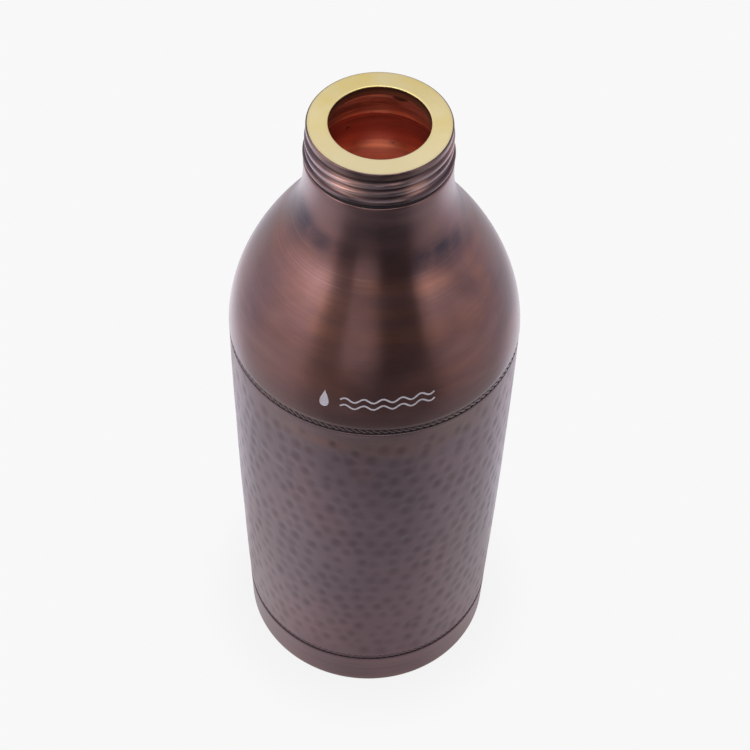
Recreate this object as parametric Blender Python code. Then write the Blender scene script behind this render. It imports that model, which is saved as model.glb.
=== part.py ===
"""Copper water bottle with a brass screw neck, open mouth.

Units are metres, +Z is up.  The origin is the centre of the foot plane, on
the bottle's axis, so the bottle stands on Z = 0 and its mouth faces +Z.

Every piece is a closed (r, z) section turned about Z.  From the top down:
  neck_ring           turned brass ring: mouth, sealing face, cap thread
  neck_braze_ring     filler between the ring and the shoulder's ledge
  shoulder_dome       spun copper dome with its collar and spigot
  upper_seam_solder   filler between shoulder and body
  hammered_body       copper tube, slightly tapered, joggled at its top
  lower_seam_solder   filler between body and base
  base_cup            pressed copper cup with a rounded heel and a foot ring
"""
import math

import bmesh
import bpy
from mathutils import Vector

MM = 0.001

# ------------------------------------------------------------- shared sizes
SEGMENTS = 64                   # facets around every turned piece
WELD_DISTANCE = 1e-6
SHARP_ANGLE = math.radians(35)  # edges steeper than this are shaded sharp
GAP = 0.3 * MM                  # clearance between neighbouring pieces
WALL = 0.9 * MM                 # copper sheet thickness

# heights above the foot plane
HEIGHT = 227.5 * MM             # sealing face of the mouth
LEDGE_Z = 215.1 * MM            # shoulder ledge that carries the neck ring
SHOULDER_FOOT_Z = 145.7 * MM
BODY_FOOT_Z = 16.9 * MM

# seams: each lower piece stops at a ledge and sends a tongue up inside
SEAM_GAP = 1.2 * MM             # from the ledge to the foot of the piece above
SOLDER_H = SEAM_GAP - 2 * GAP
BODY_LEDGE_Z = SHOULDER_FOOT_Z - SEAM_GAP
BASE_LEDGE_Z = BODY_FOOT_Z - SEAM_GAP
JOGGLE_DROP = 0.6 * MM          # tongue's inner face ends this far below the ledge
JOGGLE_H = 1.0 * MM             # height of the inner slope out to the wall below

# ---------------------------------------------------------------- neck ring
MOUTH_R = 14.2 * MM             # clear mouth
LIP_T = 3.2 * MM                # thickness of the inner lip
NECK_BORE_R = 17.6 * MM         # bore under the lip
BAND_R = 20.3 * MM              # plain band above the thread
BAND_FOOT_RISE = 0.2 * MM       # band's lower edge above the thread's top
RIM_CHAMFER = 0.3 * MM
MOUTH_CHAMFER = 0.3 * MM
BEAD_R = 21.2 * MM              # bead at the ring's foot
BEAD_Z = 217.0 * MM
BEAD_SECTION_R = 0.75 * MM
FOOT_CHAMFER = 0.9 * MM
FOOT_CHAMFER_H = 0.25 * MM

THREAD_ROOT_R = 19.75 * MM
THREAD_CREST_R = 20.65 * MM
THREAD_PITCH = 3.0 * MM
THREAD_TOP = 225.2 * MM
THREAD_FOOT = 218.0 * MM
THREAD_START = 0.383            # turns round the neck at which the helix starts
THREAD_ROWS = 15
RUN_IN_H = 0.5 * THREAD_PITCH   # height over which the thread fades in at its top
CREST_GAIN = 1.15               # above 1 flattens the tips of the crests

# ----------------------------------------------------------------- shoulder
# dome curve from the seam to the steep point, then the throat
SEAM_R = 44.0 * MM
DOME_PULL_LOW = 19.2 * MM       # the pulls are lengths of the curves' handles
DOME_PULL_HIGH = 8.2 * MM
STEEP_R = 27.9 * MM
STEEP_Z = 188.6 * MM
STEEP_SLOPE = 0.71              # radius lost per unit of height
THROAT_PULL_LOW = 12.7 * MM
THROAT_PULL_HIGH = 6.0 * MM
COLLAR_R = 21.05 * MM
COLLAR_Z = 214.4 * MM           # top end of the throat curve
LEDGE_EDGE_R = 0.6 * MM         # rounding of the ledge's outer edge
SPIGOT_R = 18.45 * MM           # spigot inside the neck ring
SPIGOT_TOP = 220.1 * MM
LEDGE_CHAMFER = 0.4 * MM        # inner corner under the ledge

# braze ring, in the groove at the ledge's rounded edge
BRAZE_Z = LEDGE_Z + 0.35 * MM
BRAZE_IN_R = COLLAR_R - LEDGE_EDGE_R + 0.35 * MM
BRAZE_OUT_R = COLLAR_R + 0.1 * MM
BRAZE_TOP = BRAZE_Z + 0.3 * MM
BRAZE_FOOT = BRAZE_Z - 0.2 * MM

# --------------------------------------------------------------------- body
BODY_TOP_R = 43.9 * MM
BODY_LOW_R = 41.0 * MM
BODY_SWELL = 0.5 * MM           # how far the taper bows out at mid height
BODY_ROWS = 7
BODY_EDGE_H = 0.2 * MM          # bevel at the ledge's outer edge
BODY_EDGE_IN = 0.25 * MM
BODY_TONGUE_R = SEAM_R - WALL - 0.4 * MM
BODY_TONGUE_LEAN = 0.35 * MM    # the tongue's top leans in to follow the dome
BODY_TONGUE_TOP = SHOULDER_FOOT_Z + 4.0 * MM

# --------------------------------------------------------------------- base
BASE_TOP_R = BODY_LOW_R
BASE_LOW_R = 40.6 * MM
BASE_EDGE = 0.2 * MM            # bevel at the ledge's outer edge
BASE_TONGUE_R = BODY_LOW_R - WALL - 0.35 * MM
BASE_TONGUE_TOP = BODY_FOOT_Z + 5.0 * MM
BASE_INNER_INSET = 0.05 * MM    # extra inset of the inner wall below the joggle
HEEL_R = 4.0 * MM
FOOT_IN_R = 33.4 * MM           # inner edge of the flat foot ring
PAN_R = 31.0 * MM               # edge of the raised centre
PAN_Z = 2.6 * MM                # height of the raised centre's edge
PAN_CROWN = 3.6 * MM            # height of its middle

# underside from the axis out to the foot ring: radius, height, and how far
# the matching point on the inner face is shifted outwards
UNDERSIDE = [
    (0.0, PAN_CROWN, 0.0),
    (0.5 * PAN_R, PAN_CROWN - 0.25 * (PAN_CROWN - PAN_Z), 0.0),
    (PAN_R, PAN_Z, -0.3 * MM),
    (0.5 * (PAN_R + FOOT_IN_R), 0.4 * PAN_Z, -0.1 * MM),
    (FOOT_IN_R, 0.0, 0.5 * MM),
]


# ------------------------------------------------------------------ helpers
def clear_scene():
    for ob in list(bpy.data.objects):
        bpy.data.objects.remove(ob, do_unlink=True)


def bezier(start, start_handle, end_handle, end, count):
    """Points of a cubic curve, both ends included."""
    points = []
    for i in range(count):
        t = i / (count - 1)
        rest = 1.0 - t
        weights = (rest**3, 3 * rest**2 * t, 3 * rest * t**2, t**3)
        points.append(tuple(sum(weight * value for weight, value in zip(weights, values))
                            for values in zip(start, start_handle, end_handle, end)))
    return points


def arc(centre_r, centre_z, radius, start_deg, end_deg, count):
    points = []
    for i in range(count):
        angle = math.radians(start_deg + (end_deg - start_deg) * i / (count - 1))
        points.append((centre_r + radius * math.cos(angle), centre_z + radius * math.sin(angle)))
    return points


def offset_inward(points, thickness):
    """A rising curve moved towards the axis side by the sheet thickness."""
    moved = []
    for i, (r, z) in enumerate(points):
        before = points[max(i - 1, 0)]
        after = points[min(i + 1, len(points) - 1)]
        tangent = Vector((after[0] - before[0], after[1] - before[1])).normalized()
        moved.append((r - tangent.y * thickness, z + tangent.x * thickness))
    return moved


def smooth(x):
    """Smoothstep, held at 0 and 1 outside the unit range."""
    x = max(0.0, min(1.0, x))
    return x * x * (3.0 - 2.0 * x)


def metal(name, colour, roughness):
    material = bpy.data.materials.new(name)
    material.use_nodes = True
    inputs = material.node_tree.nodes["Principled BSDF"].inputs
    inputs["Base Color"].default_value = (*colour, 1.0)
    inputs["Metallic"].default_value = 1.0
    inputs["Roughness"].default_value = roughness
    material.diffuse_color = (*colour, 1.0)
    return material


def turn(name, profile, material, reshape=None):
    """Spin a closed (r, z) profile, or one whose ends lie on the axis, about Z."""
    bm = bmesh.new()
    verts = [bm.verts.new((r, 0.0, z)) for r, z in profile]
    edges = [bm.edges.new(pair) for pair in zip(verts, verts[1:])]
    ends_on_axis = profile[0][0] == 0.0 and profile[-1][0] == 0.0
    if not ends_on_axis:
        edges.append(bm.edges.new((verts[-1], verts[0])))
    bmesh.ops.spin(bm, geom=verts + edges, cent=(0, 0, 0), axis=(0, 0, 1), dvec=(0, 0, 0),
                   angle=math.tau, steps=SEGMENTS, use_merge=True, use_duplicate=False)
    bmesh.ops.remove_doubles(bm, verts=bm.verts, dist=WELD_DISTANCE)
    if reshape:
        for vert in bm.verts:
            reshape(vert)
    bmesh.ops.recalc_face_normals(bm, faces=bm.faces)

    mesh = bpy.data.meshes.new(name)
    bm.to_mesh(mesh)
    bm.free()
    mesh.shade_smooth()
    mesh.set_sharp_from_angle(angle=SHARP_ANGLE)
    mesh.materials.append(material)
    bpy.context.scene.collection.objects.link(bpy.data.objects.new(name, mesh))


# ---------------------------------------------------------------- neck ring
def thread_radius(angle, z):
    """Right-hand external thread: rounded crests that climb one pitch a turn."""
    run_in = smooth((THREAD_TOP - z) / RUN_IN_H)
    phase = (z - THREAD_FOOT) / THREAD_PITCH - angle / math.tau - THREAD_START
    crest = smooth(CREST_GAIN * (0.5 - 0.5 * math.cos(math.tau * phase)))
    return THREAD_ROOT_R + (THREAD_CREST_R - THREAD_ROOT_R) * crest * run_in


def shape_thread(vert):
    """Move a vertex on the thread's root cylinder out to the thread."""
    x, y, z = vert.co
    r = math.hypot(x, y)
    if abs(r - THREAD_ROOT_R) > WELD_DISTANCE:
        return
    scale = thread_radius(math.atan2(y, x), z) / r
    vert.co.x *= scale
    vert.co.y *= scale


def neck_ring():
    foot_z = LEDGE_Z + GAP
    mouth_and_band = [
        (MOUTH_R, HEIGHT - LIP_T),
        (MOUTH_R, HEIGHT - MOUTH_CHAMFER),
        (MOUTH_R + MOUTH_CHAMFER, HEIGHT),
        (BAND_R - RIM_CHAMFER, HEIGHT),
        (BAND_R, HEIGHT - RIM_CHAMFER),
        (BAND_R, THREAD_TOP + BAND_FOOT_RISE),
    ]
    thread = [(THREAD_ROOT_R, THREAD_TOP + (THREAD_FOOT - THREAD_TOP) * i / THREAD_ROWS)
              for i in range(THREAD_ROWS + 1)]
    bead = arc(BEAD_R - BEAD_SECTION_R, BEAD_Z, BEAD_SECTION_R, 75, -75, 5)
    foot_and_bore = [
        (BEAD_R - FOOT_CHAMFER, foot_z + FOOT_CHAMFER_H),
        (BEAD_R - 1.5 * FOOT_CHAMFER, foot_z),
        (SPIGOT_R + GAP, foot_z),
        (SPIGOT_R + GAP, SPIGOT_TOP + GAP),
        (NECK_BORE_R, SPIGOT_TOP + GAP),
        (NECK_BORE_R, HEIGHT - LIP_T),
    ]
    brass = metal("turned_brass", colour=(0.68, 0.55, 0.27), roughness=0.32)
    turn("neck_ring", mouth_and_band + thread + bead + foot_and_bore, brass, shape_thread)


def neck_braze_ring():
    profile = [
        (BRAZE_IN_R, BRAZE_Z - 0.08 * MM),
        (BRAZE_IN_R + 0.12 * MM, BRAZE_Z + 0.22 * MM),
        (BRAZE_OUT_R, BRAZE_TOP),
        (BRAZE_OUT_R, BRAZE_FOOT),
        (BRAZE_IN_R + 0.2 * MM, BRAZE_FOOT),
    ]
    filler = metal("braze_filler", colour=(0.05, 0.035, 0.035), roughness=0.5)
    turn("neck_braze_ring", profile, filler)


# ----------------------------------------------------------------- shoulder
def shoulder_outline(dome_points, throat_points):
    """Outer curve from the seam up to the collar."""
    steep = Vector((-STEEP_SLOPE, 1.0)).normalized()
    dome = bezier(
        (SEAM_R, SHOULDER_FOOT_Z),
        (SEAM_R, SHOULDER_FOOT_Z + DOME_PULL_LOW),
        (STEEP_R - steep.x * DOME_PULL_HIGH, STEEP_Z - steep.y * DOME_PULL_HIGH),
        (STEEP_R, STEEP_Z), dome_points)
    throat = bezier(
        (STEEP_R, STEEP_Z),
        (STEEP_R + steep.x * THROAT_PULL_LOW, STEEP_Z + steep.y * THROAT_PULL_LOW),
        (COLLAR_R, COLLAR_Z - THROAT_PULL_HIGH),
        (COLLAR_R, COLLAR_Z), throat_points)
    return dome + throat[1:]


def shoulder_dome():
    outer = shoulder_outline(dome_points=12, throat_points=7)
    inner = offset_inward(shoulder_outline(dome_points=9, throat_points=6), WALL)
    ledge_edge = arc(COLLAR_R - LEDGE_EDGE_R, LEDGE_Z - LEDGE_EDGE_R, LEDGE_EDGE_R, 0, 90, 4)
    spigot = [
        (SPIGOT_R, LEDGE_Z),
        (SPIGOT_R, SPIGOT_TOP),
        (NECK_BORE_R, SPIGOT_TOP),
        (NECK_BORE_R, LEDGE_Z - WALL),
        (COLLAR_R - WALL - LEDGE_CHAMFER, LEDGE_Z - WALL),
        (COLLAR_R - WALL, LEDGE_Z - WALL - LEDGE_CHAMFER),
    ]
    copper = metal("antique_copper_satin", colour=(0.16, 0.085, 0.075), roughness=0.34)
    turn("shoulder_dome", outer + ledge_edge + spigot + inner[::-1], copper)


# --------------------------------------------------------------------- body
def body_radius(z):
    """Outer radius of the tapered, slightly bowed tube."""
    t = (z - BODY_FOOT_Z) / (BODY_LEDGE_Z - BODY_FOOT_Z)
    return BODY_LOW_R + (BODY_TOP_R - BODY_LOW_R) * t + BODY_SWELL * 4.0 * t * (1.0 - t)


def hammered_body():
    outer_h = BODY_LEDGE_Z - BODY_EDGE_H - BODY_FOOT_Z
    heights = [BODY_FOOT_Z + outer_h * i / BODY_ROWS for i in range(BODY_ROWS + 1)]
    outer = [(body_radius(z), z) for z in heights]
    joggle_top = BODY_LEDGE_Z - JOGGLE_DROP
    joggle_foot = joggle_top - JOGGLE_H
    tongue = [
        (BODY_TOP_R - BODY_EDGE_IN, BODY_LEDGE_Z),
        (BODY_TONGUE_R, BODY_LEDGE_Z),
        (BODY_TONGUE_R - BODY_TONGUE_LEAN, BODY_TONGUE_TOP),
        (BODY_TONGUE_R - BODY_TONGUE_LEAN - WALL, BODY_TONGUE_TOP),
        (BODY_TONGUE_R - WALL, joggle_top),
        (body_radius(joggle_foot) - WALL, joggle_foot),
    ]
    # the top row is left out inside, where the joggle takes its place
    inner = [(r - WALL, z) for r, z in outer[:-1]]
    copper = metal("antique_copper_hammered", colour=(0.17, 0.105, 0.11), roughness=0.42)
    turn("hammered_body", outer + tongue + inner[::-1], copper)


def seam_solder(name, ledge_z, tongue_r, outer_r):
    """Square-edged ring round a tongue, centred in the seam above its ledge."""
    foot_z = ledge_z + 0.5 * (SEAM_GAP - SOLDER_H)
    top_z = foot_z + SOLDER_H
    inner_r = tongue_r + GAP
    profile = [(inner_r, foot_z), (outer_r, foot_z), (outer_r, top_z), (inner_r, top_z)]
    filler = metal(name + "_filler", colour=(0.045, 0.032, 0.035), roughness=0.5)
    turn(name, profile, filler)


# --------------------------------------------------------------------- base
def base_cup():
    heel_centre = (BASE_LOW_R - HEEL_R, HEEL_R)
    joggle_top = BASE_LEDGE_Z - JOGGLE_DROP
    underside = [(r, z) for r, z, _ in UNDERSIDE]
    outer_heel = arc(*heel_centre, HEEL_R, -90, 0, 6)
    tongue = [
        (BASE_TOP_R, BASE_LEDGE_Z - BASE_EDGE),
        (BASE_TOP_R - BASE_EDGE, BASE_LEDGE_Z),
        (BASE_TONGUE_R, BASE_LEDGE_Z),
        (BASE_TONGUE_R, BASE_TONGUE_TOP),
        (BASE_TONGUE_R - WALL, BASE_TONGUE_TOP),
        (BASE_TONGUE_R - WALL, joggle_top),
        (BASE_TOP_R - WALL - BASE_INNER_INSET, joggle_top - JOGGLE_H),
    ]
    inner_heel = arc(*heel_centre, HEEL_R - WALL, 0, -90, 4)
    floor = [(r + shift, z + WALL) for r, z, shift in reversed(UNDERSIDE)]
    copper = metal("antique_copper_band", colour=(0.16, 0.10, 0.10), roughness=0.36)
    turn("base_cup", underside + outer_heel + tongue + inner_heel + floor, copper)


def main():
    clear_scene()
    neck_ring()
    neck_braze_ring()
    shoulder_dome()
    seam_solder("upper_seam_solder", BODY_LEDGE_Z, BODY_TONGUE_R, outer_r=SEAM_R - 0.3 * MM)
    hammered_body()
    seam_solder("lower_seam_solder", BASE_LEDGE_Z, BASE_TONGUE_R, outer_r=BODY_LOW_R - 0.2 * MM)
    base_cup()


main()
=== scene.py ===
"""Copper water bottle: spun shoulder, hammered body, pressed base and threaded brass neck ring.
It stands upright on z = 0 with its axis on z. The front faces -y, towards the camera, and +x is
to the right. Lengths are in metres."""
import math

import bmesh
import bpy
import numpy as np
from mathutils import Euler, Matrix, Vector


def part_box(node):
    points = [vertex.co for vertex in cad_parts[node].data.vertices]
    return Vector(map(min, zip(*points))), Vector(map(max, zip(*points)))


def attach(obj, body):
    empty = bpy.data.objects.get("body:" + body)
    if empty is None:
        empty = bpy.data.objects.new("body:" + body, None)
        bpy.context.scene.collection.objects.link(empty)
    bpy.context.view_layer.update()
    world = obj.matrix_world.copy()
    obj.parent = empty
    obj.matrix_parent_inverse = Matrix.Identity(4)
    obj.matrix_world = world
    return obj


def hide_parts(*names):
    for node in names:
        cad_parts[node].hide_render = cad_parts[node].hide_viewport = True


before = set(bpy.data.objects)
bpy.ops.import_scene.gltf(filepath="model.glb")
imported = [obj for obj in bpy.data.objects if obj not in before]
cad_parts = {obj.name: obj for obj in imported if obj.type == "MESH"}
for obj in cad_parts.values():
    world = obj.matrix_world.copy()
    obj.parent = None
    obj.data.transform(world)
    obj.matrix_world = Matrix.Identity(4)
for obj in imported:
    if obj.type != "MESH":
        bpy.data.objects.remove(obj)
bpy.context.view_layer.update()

MM = 0.001
TAU = math.tau
scene = bpy.context.scene

# ------------------------------------------------------------ sizes
shoulder_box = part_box("shoulder_dome")
neck_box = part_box("neck_ring")
upper_seam_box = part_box("upper_seam_solder")
lower_seam_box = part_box("lower_seam_solder")

HEIGHT = neck_box[1].z
RING_FOOT = neck_box[0].z                # underside of the neck ring
BEAD_R = neck_box[1].x
SEAM_R = shoulder_box[1].x
Z_SEAM = shoulder_box[0].z               # foot of the shoulder
SPIGOT_TOP = shoulder_box[1].z
Z_LEDGE = RING_FOOT - 0.3 * MM           # flat top of the shoulder, under the ring
Z_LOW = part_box("hammered_body")[0].z
BODY_TOP_Z = 0.5 * (upper_seam_box[0].z + upper_seam_box[1].z) - 0.25 * MM
BODY_TOP_R, BODY_LOW_R = 43.9 * MM, 41.0 * MM
BASE_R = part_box("base_cup")[1].x
BASE_TOP_Z = 0.5 * (lower_seam_box[0].z + lower_seam_box[1].z) - 0.3 * MM
WALL = 0.9 * MM
BORE_R = 17.6 * MM                       # inside the spigot


# ------------------------------------------------------------ outlines
def smooth01(x):
    x = np.clip(x, 0.0, 1.0)
    return x * x * (3.0 - 2.0 * x)


def wrap(angle, turn=360.0):
    """The same angle, within half a turn of zero."""
    return (angle + turn / 2) % turn - turn / 2


def bezier(p0, p1, p2, p3, count):
    t = np.linspace(0.0, 1.0, count)[:, None]
    p0, p1, p2, p3 = (np.array(p, float) for p in (p0, p1, p2, p3))
    return (1 - t) ** 3 * p0 + 3 * (1 - t) ** 2 * t * p1 + 3 * (1 - t) * t * t * p2 + t ** 3 * p3


def arc(centre_r, centre_z, radius, start, end, count):
    """Points on an arc, with the angles in degrees."""
    a = np.radians(np.linspace(start, end, count))
    return np.stack([centre_r + radius * np.cos(a), centre_z + radius * np.sin(a)], 1)


def unit_tangents(points):
    tangents = np.gradient(points, axis=0)
    return tangents / np.hypot(tangents[:, 0], tangents[:, 1])[:, None]


def offset(points, distance):
    """An outline moved to the left of its own direction."""
    tangents = unit_tangents(points)
    return points + np.stack([-tangents[:, 1], tangents[:, 0]], 1) * distance


# ------------------------------------------------------------ meshes
def add_object(name, data):
    ob = bpy.data.objects.new(name, data)
    scene.collection.objects.link(ob)
    return ob


class Lathe:
    """A turned shell, built of rows that each run once round the axis. The radius and height of a
    row may vary round it, and a row carries a material number and named values that become
    attributes for the materials to read."""

    def __init__(self, name, segments):
        self.name, self.n = name, segments
        self.theta = np.arange(segments) * TAU / segments
        self.rows, self.mats, self.attrs = [], [], {}

    def add_row(self, radius, z, mat=0, **values):
        for name, value in values.items():
            self.attrs.setdefault(name, {})[len(self.rows)] = value
        self.rows.append((np.full(self.n, radius), np.full(self.n, z)))
        self.mats.append(mat)

    def add(self, points, mat=0, **values):
        for radius, z in points:
            self.add_row(radius, z, mat, **values)

    def build(self, poles=False):
        """Join the last row to the first, or close each of the two ends with a pole."""
        n, count = self.n, len(self.rows)
        radius, z = (np.array(part) for part in zip(*self.rows))
        co = np.stack([radius * np.cos(self.theta), radius * np.sin(self.theta), z], -1)
        co = co.reshape(-1, 3)
        ring = np.arange(count * n).reshape(count, n)
        this, after = (ring[:-1], ring[1:]) if poles else (ring, np.roll(ring, -1, axis=0))
        quads = [this, np.roll(this, -1, axis=1), np.roll(after, -1, axis=1), after]
        faces = np.stack(quads, -1).reshape(-1, 4).tolist()
        mats = np.repeat(self.mats[:len(this)], n)
        if poles:
            start_pole = np.full(n, len(co))
            first, last = ring[0], ring[-1]
            faces += np.stack([start_pole, np.roll(first, -1), first], 1).tolist()
            faces += np.stack([last, np.roll(last, -1), start_pole + 1], 1).tolist()
            co = np.vstack([co, [[0, 0, z[0][0]], [0, 0, z[-1][0]]]])
            mats = np.concatenate([mats, np.repeat([self.mats[0], self.mats[-1]], n)])
        me = bpy.data.meshes.new(self.name)
        me.from_pydata(co.tolist(), [], faces)
        me.update()
        me.polygons.foreach_set("material_index", mats.astype(np.int32))
        for name, by_row in self.attrs.items():
            values = np.zeros(len(co), np.float32)
            for row, value in by_row.items():
                values[row * n:(row + 1) * n] = value
            me.attributes.new(name, "FLOAT", "POINT").data.foreach_set("value", values)
        me.shade_smooth()
        me.set_sharp_from_angle(angle=math.radians(38))
        # a negative volume means the faces look inward
        me.calc_loop_triangles()
        corners = np.zeros(len(me.loop_triangles) * 3, np.int32)
        me.loop_triangles.foreach_get("vertices", corners)
        tri = co[corners.reshape(-1, 3)]
        if np.einsum("ij,ij->i", tri[:, 0], np.cross(tri[:, 1], tri[:, 2])).sum() < 0:
            me.flip_normals()
        return add_object(self.name, me)


def mount(ob, materials, slot, *replaced):
    for mat in materials:
        ob.data.materials.append(mat)
    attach(ob, "root")
    if replaced:
        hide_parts(*replaced)


# ------------------------------------------------------------ shader nodes
class Net:
    """Short names for building a node tree."""

    def __init__(self, tree):
        self.tree = tree
        tree.nodes.clear()
        self.coords = self.node("TexCoord")

    def node(self, kind, **settings):
        node = self.tree.nodes.new("ShaderNode" + kind)
        for name, value in settings.items():
            setattr(node, name, value)
        return node

    def put(self, socket, value):
        """Feed a socket a number, a colour or another node's output."""
        if isinstance(value, (int, float)):
            socket.default_value = value
        elif isinstance(value, tuple):
            socket.default_value = (*value, 1.0)
        else:
            self.tree.links.new(value, socket)

    def surface(self, **inputs):
        """Set inputs of the principled shader, such as base_color for Base Color."""
        for name, value in inputs.items():
            self.put(self.bsdf.inputs[name.replace("_", " ").title()], value)

    def spun(self, anisotropic):
        """Turning marks run round, so the shine spreads up and down."""
        tangent = self.node("Tangent", direction_type="RADIAL", axis="Z")
        self.surface(anisotropic=anisotropic, anisotropic_rotation=0.25,
                     tangent=tangent.outputs[0])

    def mapping(self, scale, shift=(0, 0, 0)):
        node = self.node("Mapping")
        node.inputs["Scale"].default_value = scale
        node.inputs["Location"].default_value = shift
        self.put(node.inputs["Vector"], self.coords.outputs["Object"])
        return node.outputs[0]

    def noise_on(self, vector, scale, detail, rough, warp=0.0):
        node = self.node("TexNoise")
        for name, value in (("Scale", scale), ("Detail", detail), ("Roughness", rough),
                            ("Distortion", warp), ("Vector", vector)):
            self.put(node.inputs[name], value)
        return node.outputs["Fac"]

    def noise(self, scale, detail=4.0, rough=0.55, warp=0.0, shift=(0, 0, 0)):
        """Noise through the object, with a frequency for each axis."""
        return self.noise_on(self.mapping(scale, shift), 1.0, detail, rough, warp)

    def ramp(self, value, stops, interpolation="LINEAR"):
        node = self.node("ValToRGB")
        node.color_ramp.interpolation = interpolation
        elements = node.color_ramp.elements
        while len(elements) < len(stops):
            elements.new(0.5)
        for element, (position, colour) in zip(elements, stops):
            element.position = position
            element.color = (*colour, 1.0)
        self.put(node.inputs[0], value)
        return node.outputs[0]

    def span(self, value, over, to=(0.0, 1.0), unit=1.0):
        """Smooth step: as the value crosses one range, the result crosses the other."""
        node = self.node("MapRange", interpolation_type="SMOOTHSTEP")
        ends = (over[0] * unit, over[1] * unit, *to)
        for name, end in zip(("From Min", "From Max", "To Min", "To Max"), ends):
            node.inputs[name].default_value = end
        self.put(node.inputs["Value"], value)
        return node.outputs[0]

    def math(self, operation, first, second=None, clamp=False):
        node = self.node("Math", operation=operation, use_clamp=clamp)
        self.put(node.inputs[0], first)
        if second is not None:
            self.put(node.inputs[1], second)
        return node.outputs[0]

    def fold(self, operation, values):
        result = values[0]
        for value in values[1:]:
            result = self.math(operation, result, value)
        return result

    def add(self, *values):
        return self.fold("ADD", values)

    def times(self, *values):
        return self.fold("MULTIPLY", values)

    def scaled(self, value, by, clamp=False):
        return self.math("MULTIPLY", value, by, clamp)

    def relative(self, value, origin, size):
        """A coordinate counted in sizes from an origin, both given in millimetres."""
        return self.math("DIVIDE", self.math("SUBTRACT", value, origin * MM), size * MM)

    def weighted(self, first, first_share, second, second_share):
        return self.add(self.times(first, first_share), self.times(second, second_share))

    def rest(self, share):
        return self.math("SUBTRACT", 1.0, share)

    def tint(self, base, colour, amount):
        """The base colour turned towards another."""
        node = self.node("Mix", data_type="RGBA", blend_type="MIX")
        for index, value in ((0, amount), (6, base), (7, colour)):
            self.put(node.inputs[index], value)
        return node.outputs[2]

    def xyz(self, source="Object"):
        node = self.node("SeparateXYZ")
        self.put(node.inputs[0], self.coords.outputs[source])
        return node.outputs

    def belt(self, z, centre, width):
        """1 at a height in millimetres, fading to 0 over a width either side."""
        away = self.math("ABSOLUTE", self.math("SUBTRACT", z, centre * MM))
        return self.span(away, over=(0.0, width), to=(1.0, 0.0), unit=MM)

    def attr(self, name):
        return self.node("Attribute", attribute_name=name).outputs["Fac"]

    def bump(self, height, depth, strength):
        node = self.node("Bump")
        node.inputs["Strength"].default_value = strength
        node.inputs["Distance"].default_value = depth
        self.put(node.inputs["Height"], height)
        return node.outputs[0]

    def seen_or_lit(self, seen, lit, output):
        """One shader for the camera to see, another for everything else."""
        node = self.node("MixShader")
        self.put(node.inputs[0], self.node("LightPath").outputs["Is Camera Ray"])
        self.put(node.inputs[1], lit.outputs[0])
        self.put(node.inputs[2], seen.outputs[0])
        self.put(self.node(output).inputs[0], node.outputs[0])


def material_net(name):
    mat = bpy.data.materials.new(name)
    mat.use_nodes = True
    return mat, Net(mat.node_tree)


def new_material(name):
    mat, net = material_net(name)
    net.bsdf = net.node("BsdfPrincipled")
    net.put(net.node("OutputMaterial").inputs[0], net.bsdf.outputs[0])
    return mat, net


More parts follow.
